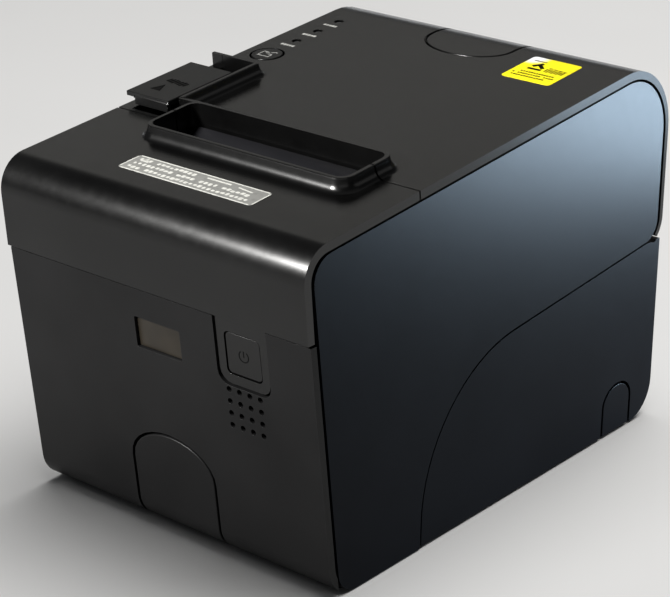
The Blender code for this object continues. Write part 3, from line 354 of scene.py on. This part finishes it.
NODE_MATERIALS = {
    "shell": ["roll_cover", "lid_rear_insert", "front_cover"],
    "front": ["front_panel", "front_knockout"],
    "cheek": ["side_panel_left", "side_panel_right", "lower_case", "side_knockout_left",
              "side_knockout_right"],
    "key": ["open_lever", "feed_button", "power_button"],
    "inner": ["main_chassis", "lid_frame", "cutter_frame"],
    "guide": ["paper_guide"],
    "nylon": ["platen_bush_left", "platen_bush_right", "platen_gear", "idler_gear",
              "motor_pinion", "cutter_pinion"],
    "socket": ["dc_jack", "drawer_port", "buzzer", "power_switch"],
    "ceramic": ["print_head"],
    "steel": [f"case_screw_{i}" for i in range(1, 5)] + [
        "lever_spring", "fixed_blade", "platen_shaft", "idler_axle", "hinge_pin_left",
        "hinge_pin_right", "head_spring_left", "head_spring_right", "motor_shaft",
        "cutter_blade"],
    "frame_steel": ["head_frame", "feed_motor", "cutter_motor", "usb_port", "lan_port"],
    "aluminium": ["heat_sink"],
    "panel_steel": ["io_panel"],
    "rubber": [f"rubber_foot_{i}" for i in range(1, 5)],
    "roller": ["platen_roller"],
    "board": ["main_board", "lid_switch_board"],
    "window": ["status_window"],
    "lens": [f"status_light_{i}" for i in range(1, 4)],
}

# Width of the rounding on each moulded or pressed part's edges, in millimetres.
SOFT_EDGES = {"roll_cover": 0.35, "lid_rear_insert": 0.35, "front_cover": 0.35,
              "front_panel": 0.4, "front_knockout": 0.4, "side_panel_left": 0.45,
              "side_panel_right": 0.45, "lower_case": 0.45, "side_knockout_left": 0.35,
              "side_knockout_right": 0.35, "open_lever": 0.15, "main_chassis": 0.2,
              "lid_frame": 0.15, "cutter_frame": 0.2, "io_panel": 0.1, "head_frame": 0.1}
NODE_CORNER, PRINT_CORNER = radians(38), radians(35)    # flatter bends than these stay as they are


def soften(piece, width, corner):
    """Rounds the edges that bend by more than an angle; the width is in millimetres."""
    rounding = piece.modifiers.new("soft_edges", "BEVEL")
    rounding.width = width * MM
    rounding.segments = 2
    rounding.limit_method = "ANGLE"
    rounding.angle_limit = corner
    rounding.use_clamp_overlap = True


def finish_node(name, material):
    """Gives a node its finish and rounded, evenly shaded edges."""
    node = NODES[name]
    node.data.materials.clear()
    node.data.materials.append(MATERIALS[material])
    for polygon in node.data.polygons:
        polygon.use_smooth = True
    weld = node.modifiers.new("join_corners", "WELD")
    weld.merge_threshold = 0.002 * MM
    if name in SOFT_EDGES:
        flat = node.modifiers.new("merge_flats", "DECIMATE")
        flat.decimate_type = "DISSOLVE"
        flat.angle_limit = radians(0.6)
        soften(node, SOFT_EDGES[name], NODE_CORNER)
    weights = node.modifiers.new("even_shading", "WEIGHTED_NORMAL")
    weights.keep_sharp = False
    weights.weight = 90


for kind, members in NODE_MATERIALS.items():
    for member in members:
        finish_node(member, kind)


# ======================= labels, prints and lamps ==================================
# Outlines and heights here are in millimetres, in one of the two planes above: x runs across the
# printer, and y, or s where a place on the lid is meant, runs along the face.
def rounded(width, height, radius, centre=(0.0, 0.0), steps=5):
    """Rectangle with round corners."""
    points = []
    for quarter, (sx, sy) in enumerate(((1, 1), (-1, 1), (-1, -1), (1, -1))):
        for step in range(steps + 1):
            angle = (quarter + step / steps) * pi / 2
            points.append((centre[0] + sx * (width / 2 - radius) + radius * cos(angle),
                           centre[1] + sy * (height / 2 - radius) + radius * sin(angle)))
    return points


def bar(length, width, centre=(0.0, 0.0), turn=0.0, lean=0.0):
    """Four corners of a printed stroke, turned about its centre or leaning like an italic."""
    points = []
    for x, y in ((-1, -1), (1, -1), (1, 1), (-1, 1)):
        px, py = x * length / 2 + lean * y * width / 2, y * width / 2
        points.append((centre[0] + px * cos(turn) - py * sin(turn),
                       centre[1] + px * sin(turn) + py * cos(turn)))
    return points


def ring(radius, width, start, end, centre, steps=20):
    """C-shaped stroke as one outline."""
    angles = [start + (end - start) * i / steps for i in range(steps + 1)]
    outer = [(centre[0] + radius * cos(a), centre[1] + radius * sin(a)) for a in angles]
    inner = [(centre[0] + (radius - width) * cos(a), centre[1] + (radius - width) * sin(a))
             for a in reversed(angles)]
    return outer + inner


def add_piece(name, mesh, body, material):
    piece = bpy.data.objects.new(name, mesh)
    bpy.context.scene.collection.objects.link(piece)
    mesh.materials.append(MATERIALS[material])
    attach(piece, body)
    return piece


def printed(name, outlines, low, high, place, body, material, edge=0.0):
    """Closed thin solids, one for each outline, lying between two heights over a plane."""
    shape = bmesh.new()
    for outline in outlines:
        area = sum(a[0] * b[1] - b[0] * a[1] for a, b in zip(outline, outline[1:] + outline[:1]))
        points = outline if area > 0 else outline[::-1]
        floor = [shape.verts.new(place @ Vector((x, y, low))) for x, y in points]
        roof = [shape.verts.new(place @ Vector((x, y, high))) for x, y in points]
        shape.faces.new(floor[::-1])
        shape.faces.new(roof)
        for i in range(len(points)):
            j = (i + 1) % len(points)
            shape.faces.new((floor[i], floor[j], roof[j], roof[i]))
    mesh = bpy.data.meshes.new(name)
    shape.to_mesh(mesh)
    shape.free()
    piece = add_piece(name, mesh, body, material)
    if edge:
        soften(piece, edge, PRINT_CORNER)


def scatter(index, salt):
    """Repeatable number from 0 to 1 for small irregularities."""
    return sin(index * 12.9898 + salt * 78.233) * 43758.5453 % 1.0


FILM = 0.08     # thickness of a label
INK = 0.02      # thickness of a print
BITE = 0.01     # a print starts this deep in its label


# Worn silver label ahead of the paper exit, with rows of blurred marks.
LABEL_CENTRE, LABEL_SIZE = (-0.2, -83.0), (61.4, 11.6)


def make_front_label():
    x, s = LABEL_CENTRE
    width, depth = LABEL_SIZE
    printed("front_label", [rounded(width, depth, 1.2, (x, s))], 0.0, FILM, LID, "case",
            "silver_film", 0.03)
    line, corner_gaps = 0.55, 2.2
    edges = [bar(width - corner_gaps, line, (x, s + side * (depth - line) / 2))
             for side in (-1, 1)]
    edges += [bar(line, depth - corner_gaps, (x + side * (width - line) / 2, s))
              for side in (-1, 1)]
    printed("front_label_border", edges, FILM - BITE, FILM + INK, LID, "case", "silver_mark")
    marks = []
    columns, row_pitch, first_mark, margins, missing = 27, 3.2, 3.2, 5.6, 0.08
    for row, count in ((-1, columns), (0, columns - 1), (1, 13)):
        for column in range(count):
            seed = row * 40 + column
            if scatter(seed, 3) < missing:
                continue
            cx = x - width / 2 + first_mark + column * (width - margins) / columns
            cy = s + row * row_pitch + (scatter(seed, 1) - 0.5) * 0.5
            marks.append(rounded(1.15 + 0.75 * scatter(seed, 5), 1.2 + 0.7 * scatter(seed, 7), 0.4,
                                 (cx, cy), 2))
    marks.append([(x - 27.3, s + 2.0), (x - 23.6, s + 2.0), (x - 25.4, s + 4.9)])
    marks.append(bar(11.0, 0.8, (x + 8.5, s + 3.6)))
    marks.append(bar(7.0, 0.7, (x + 21.0, s + 2.9), -0.12))
    printed("front_label_marks", marks, FILM - BITE, FILM + INK, LID, "case", "silver_mark")


# Yellow sticker at the rear right of the lid: its lowest and highest x, and y along the lid.
STICKER_X, STICKER_S = (29.7, 51.5), (51.8, 74.6)


def make_sticker():
    (left, right), (near, far) = STICKER_X, STICKER_S
    centre = ((left + right) / 2, (near + far) / 2)
    # The sticker turns pale grey towards its rear-left corner.
    pale_corner = LID @ Vector((left + 1.0, far - 1.0, 0))
    MATERIALS["yellow_film"] = printed_film("yellow_film", (0.93, 0.80, 0.002), 0.6, 0.1,
                                            (tuple(pale_corner), 7.0 * MM))
    printed("lid_sticker", [rounded(right - left, far - near, 1.6, centre)], 0.0, FILM, LID,
            "lid", "yellow_film", 0.03)
    marks = [bar(0.8, 0.75, (left + 2.8 + 0.95 * i, far - 3.6), 0, 0.3) for i in range(6)]
    marks += [bar(4.6, 1.8, (left + 6.4, far - 7.2), 0.95),
              bar(3.8, 1.6, (left + 8.7, far - 8.5), -0.75),
              bar(6.0, 1.6, (left + 7.4, far - 11.4), 0.02)]
    marks += [bar(0.62, 2.8 + 0.7 * (i % 2), (left + 12.0 + 1.08 * i, far - 10.4))
              for i in range(8)]
    marks += [bar(1.7, 0.55, (left + 12.9 + 2.2 * i, far - 7.9 - 0.2 * i)) for i in range(4)]
    missing = 0.14
    for row, (start, count) in enumerate(((2.0, 15), (2.0, 16), (2.6, 13))):
        for i in range(count):
            seed = row * 31 + i
            if scatter(seed, 2) < missing:
                continue
            marks.append(bar(0.7 + 0.35 * scatter(seed, 4), 0.95,
                             (left + start + 1.15 * i, far - 14.9 - 2.1 * row)))
    printed("lid_sticker_marks", marks, FILM - BITE, FILM + INK, LID, "lid", "black_ink")


def make_lid_prints():
    """Dashes by the three lamps, and the feed key's outline of a sheet on its way out."""
    dashes = []
    for i in (1, 2, 3):
        x, s = middle(f"status_light_{i}", LID)
        for k in range(5):
            seed = i * 7 + k
            dashes.append(bar(0.85 + 0.35 * scatter(seed, 1), 1.2 + 0.3 * scatter(seed, 2),
                              (x - 2.6 + 1.35 * k, s - 5.4)))
    printed("light_captions", dashes, 0.0, INK, LID, "lid", "white_ink")
    x, s = middle("feed_button", LID)
    top = FEED_PROUD / MM
    stroke = 0.55
    icon = [bar(5.6, stroke, (x - 0.2, s - 2.3)), bar(stroke, 4.2, (x - 2.9, s - 0.3)),
            bar(2.4, stroke, (x - 1.9, s + 1.9)), bar(stroke, 2.4, (x + 2.4, s - 1.2)),
            bar(2.0, stroke, (x + 1.5, s + 0.1)), bar(1.7, stroke, (x + 1.3, s + 2.2), 0.8),
            bar(1.4, stroke, (x + 2.6, s + 2.7), -0.6), bar(1.6, stroke, (x - 0.4, s + 1.0), 0.5)]
    printed("feed_icon", icon, top - BITE / 2, top + INK, LID, "feed_key", "grey_ink")


def make_lever_marks():
    """Raised arrow and strokes on the lever."""
    x, s = middle("open_lever", LID)
    top = top_of("open_lever", LID)
    low, high = top - 0.05, top + 0.12
    triangle = [(x - 4.2, s - 11.0), (x + 0.4, s - 11.0), (x - 1.9, s - 5.4)]
    printed("lever_arrow", [triangle], low, high, LID, "lever", "black_ink", 0.04)
    strokes = [bar(0.75, 2.6 + 0.5 * (i % 3), (x - 3.9 + 1.45 * i, s - 0.9 - 0.15 * i), 0, 0.2)
               for i in range(7)]
    printed("lever_mark", strokes, low, high, LID, "lever", "black_ink", 0.03)


def make_power_icon():
    centre = middle("power_button", FACE)
    top = top_of("power_button", FACE)
    stroke = 0.45
    icon = [ring(2.3, stroke, radians(125), radians(415), centre),
            bar(stroke, 2.4, (centre[0], centre[1] + 0.9))]
    printed("power_icon", icon, top - 0.05, top + 0.06, FACE, "power_key", "black_ink", 0.03)


def make_lamp_domes():
    """Low clear domes over the three lamps, below the lid's surface."""
    sides, levels, rise, gap, overlap = 16, 5, 0.55, 0.05, 0.02
    for i in (1, 2, 3):
        low, high = local_box(f"status_light_{i}", LID)
        cx, cs = middle(f"status_light_{i}", LID)
        radius, base = (high[0] - low[0]) / 2 - gap, high[2] - overlap
        shape = bmesh.new()
        rows = []
        for level in range(levels):
            up = level * pi / 2 / levels
            rows.append([])
            for side in range(sides):
                around = side * pi / (sides / 2)
                point = Vector((cx + radius * cos(up) * cos(around),
                                cs + radius * cos(up) * sin(around), base + rise * sin(up)))
                rows[-1].append(shape.verts.new(LID @ point))
        tip = shape.verts.new(LID @ Vector((cx, cs, base + rise)))
        for lower, upper in zip(rows, rows[1:]):
            for t in range(sides):
                u = (t + 1) % sides
                shape.faces.new((lower[t], lower[u], upper[u], upper[t]))
        for t in range(sides):
            shape.faces.new((rows[-1][t], rows[-1][(t + 1) % sides], tip))
        shape.faces.new(rows[0][::-1])
        mesh = bpy.data.meshes.new(f"lamp_dome_{i}")
        shape.to_mesh(mesh)
        shape.free()
        for polygon in mesh.polygons:
            polygon.use_smooth = True
        add_piece(f"lamp_dome_{i}", mesh, "lid", "lens")


make_front_label()
make_sticker()
make_lid_prints()
make_lever_marks()
make_power_icon()
make_lamp_domes()


# ======================= floor, light and camera ==================================
def make_stage():
    """Pale paper floor."""
    half_width, steps = 3.2, 24
    shape = bmesh.new()
    across = [(i / steps - 0.5) * 2 * half_width for i in range(steps + 1)]
    rows = [[shape.verts.new((x, y, 0)) for x in across] for y in across]
    for a, b in zip(rows, rows[1:]):
        for i in range(steps):
            shape.faces.new((a[i], a[i + 1], b[i + 1], b[i]))
    mesh = bpy.data.meshes.new("floor")
    shape.to_mesh(mesh)
    shape.free()
    floor = bpy.data.objects.new("floor", mesh)
    bpy.context.scene.collection.objects.link(floor)
    material, tree, shader = new_material("floor_paper")
    where = coordinates(tree)
    link(tree, blend_colour(tree, patches(tree, where, 3, 3, (0.3, 0.7)), (0.80, 0.80, 0.80),
                            (0.84, 0.84, 0.84)), shader.inputs["Base Color"])
    shader.inputs["Roughness"].default_value = 0.9
    shader.inputs["Specular IOR Level"].default_value = 0.1
    mesh.materials.append(material)


def add_light(name, where, target, size, power, colour=(1, 1, 1), spares=(), only=()):
    """Soft panel light that leaves some objects out, or lights only the ones named."""
    lamp = bpy.data.lights.new(name, "AREA")
    lamp.shape = "RECTANGLE"
    lamp.size, lamp.size_y = size
    lamp.energy = power
    lamp.color = colour
    holder = bpy.data.objects.new(name, lamp)
    bpy.context.scene.collection.objects.link(holder)
    holder.location = where
    holder.rotation_euler = (Vector(target) - Vector(where)).to_track_quat("-Z", "Y").to_euler()
    holder.visible_camera = False
    if spares or only:
        receivers = bpy.data.collections.new(name + "_receivers")
        for other in spares or only:
            receivers.objects.link(bpy.data.objects[other])
        holder.light_linking.receiver_collection = receivers
        for entry in receivers.collection_objects:
            entry.light_linking.link_state = "EXCLUDE" if spares else "INCLUDE"


def make_lights():
    floor = ("floor",)
    band = ("roll_cover", "lid_rear_insert", "front_cover", "front_panel")
    sockets = ("io_panel", "dc_jack", "usb_port", "lan_port", "drawer_port")
    left_side = ("side_panel_left", "side_knockout_left", "lower_case")
    warm, cold = (1.0, 0.99, 0.97), (0.62, 0.81, 1.0)
    above, ground, middle_height = (0.2, 0.4, 2.0), (0, 0, 0), (0, 0, 0.1)
    add_light("overhead_floor", above, ground, (1.8, 1.8), 46, warm, only=floor)
    add_light("overhead", above, ground, (1.8, 1.8), 1.2, warm, spares=floor)
    add_light("key", (-0.14, -0.46, 0.35), (0.08, -0.1, 0.125), (0.07, 0.07), 11, warm,
              spares=floor)
    add_light("rear_left", (-1.17, 1.27, 1.06), middle_height, (1.7, 0.55), 1.25,
              (1.0, 0.98, 0.92), spares=floor)
    add_light("rear_low", (-1.3, 1.45, 0.22), middle_height, (1.9, 0.35), 2.2,
              (0.96, 0.98, 1.0), spares=floor)
    add_light("right_rear", (0.255, 0.32, 0.06), (0.07, 0.09, 0.14), (0.20, 0.10), 5.0, cold,
              spares=floor + band + sockets)
    add_light("right_rear_band", (0.22, 0.28, 0.09), (0.07, 0.10, 0.14), (0.12, 0.08), 0.20,
              cold, only=band)
    add_light("left_fill", (-1.1, 0.2, 0.6), (0, 0, 0.07), (1.2, 0.6), 55, warm,
              only=left_side)
    add_light("front_right", (1.3, -1.3, 0.75), middle_height, (1.7, 0.6), 1.8, warm,
              spares=floor)
    add_light("rear_right", (1.25, 1.35, 0.9), middle_height, (1.7, 0.55), 1.2, warm,
              spares=floor)
    world = bpy.data.worlds.new("studio")
    bpy.context.scene.world = world
    world.use_nodes = True
    colour, strength = world.node_tree.nodes["Background"].inputs[:2]
    colour.default_value = (0.95, 0.97, 1.0, 1)
    strength.default_value = 0.06


def make_camera():
    azimuth, elevation, roll = radians(39.64), radians(22.47), radians(0.35)
    distance, focal_px, width_px = 0.8317, 2226.87, 670
    target = Vector((0.0, -0.0077, 0.0663))
    back = Vector((sin(azimuth) * cos(elevation), -cos(azimuth) * cos(elevation), sin(elevation)))
    right = (-back).cross(Vector((0, 0, 1))).normalized()
    up = right.cross(-back)
    right, up = (cos(roll) * right + sin(roll) * up, -sin(roll) * right + cos(roll) * up)
    lens = bpy.data.cameras.new("camera")
    lens.sensor_fit = "HORIZONTAL"
    lens.sensor_width = 36.0
    lens.lens = focal_px * lens.sensor_width / width_px
    camera = bpy.data.objects.new("camera", lens)
    bpy.context.scene.collection.objects.link(camera)
    turn = Matrix((right, up, back)).transposed().to_4x4()
    camera.matrix_world = Matrix.Translation(target + back * distance) @ turn
    bpy.context.scene.camera = camera


make_stage()
make_lights()
make_camera()
bpy.context.scene.view_settings.view_transform = "Standard"
